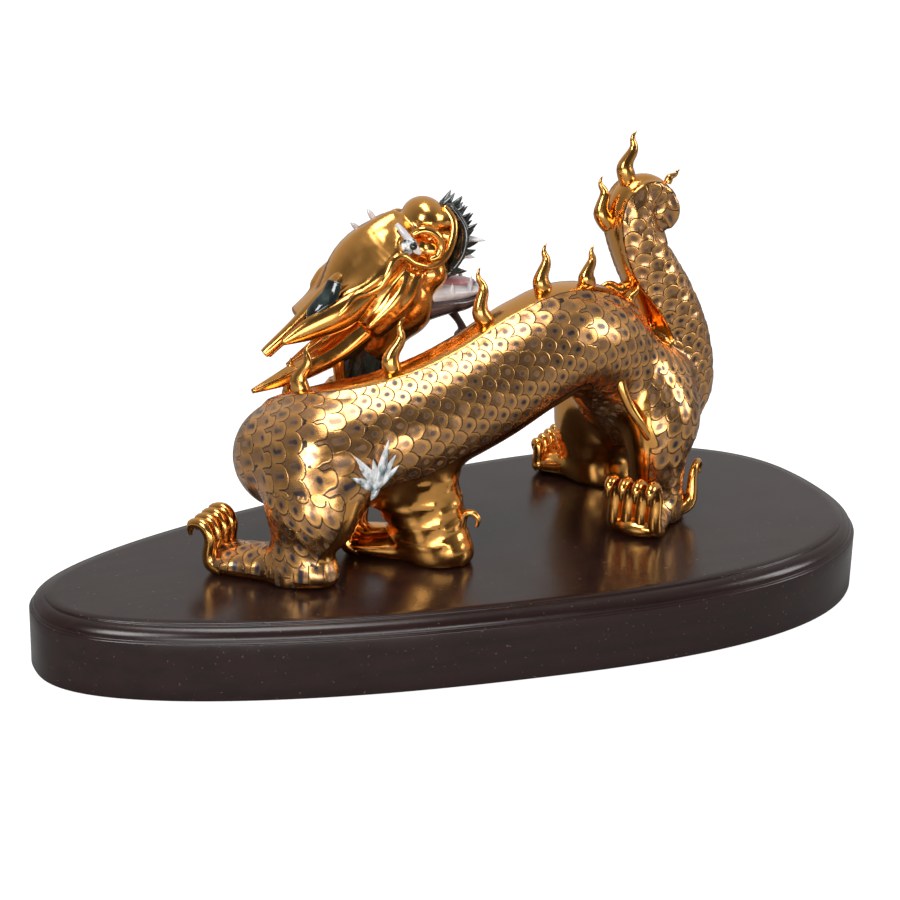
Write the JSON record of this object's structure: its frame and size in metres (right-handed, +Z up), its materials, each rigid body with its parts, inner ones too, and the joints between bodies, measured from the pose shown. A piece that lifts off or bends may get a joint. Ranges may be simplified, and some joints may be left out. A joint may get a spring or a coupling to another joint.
{
  "type": "dragon sculpture",
  "caption": "Gilt porcelain dragon with painted scales, turned head and raised tail, standing on an egg-shaped dark wood plinth.",
  "frame": {"origin": "middle of the plinth's underside, on the surface that it stands on", "axes": "+X along the plinth's length towards its broad end and the dragon's tail, -Y the side that the dragon's flank is shown from, +Z up"},
  "size_m": [0.5594, 0.2556, 0.3013],
  "materials": {
    "wood": "satin dark mahogany lacquer",
    "gilt": "bright gold lustre over glaze"
  },
  "bodies": {
    "root": {"plinth": "wood", "dragon": "gilt"}
  },
  "joints": []
}
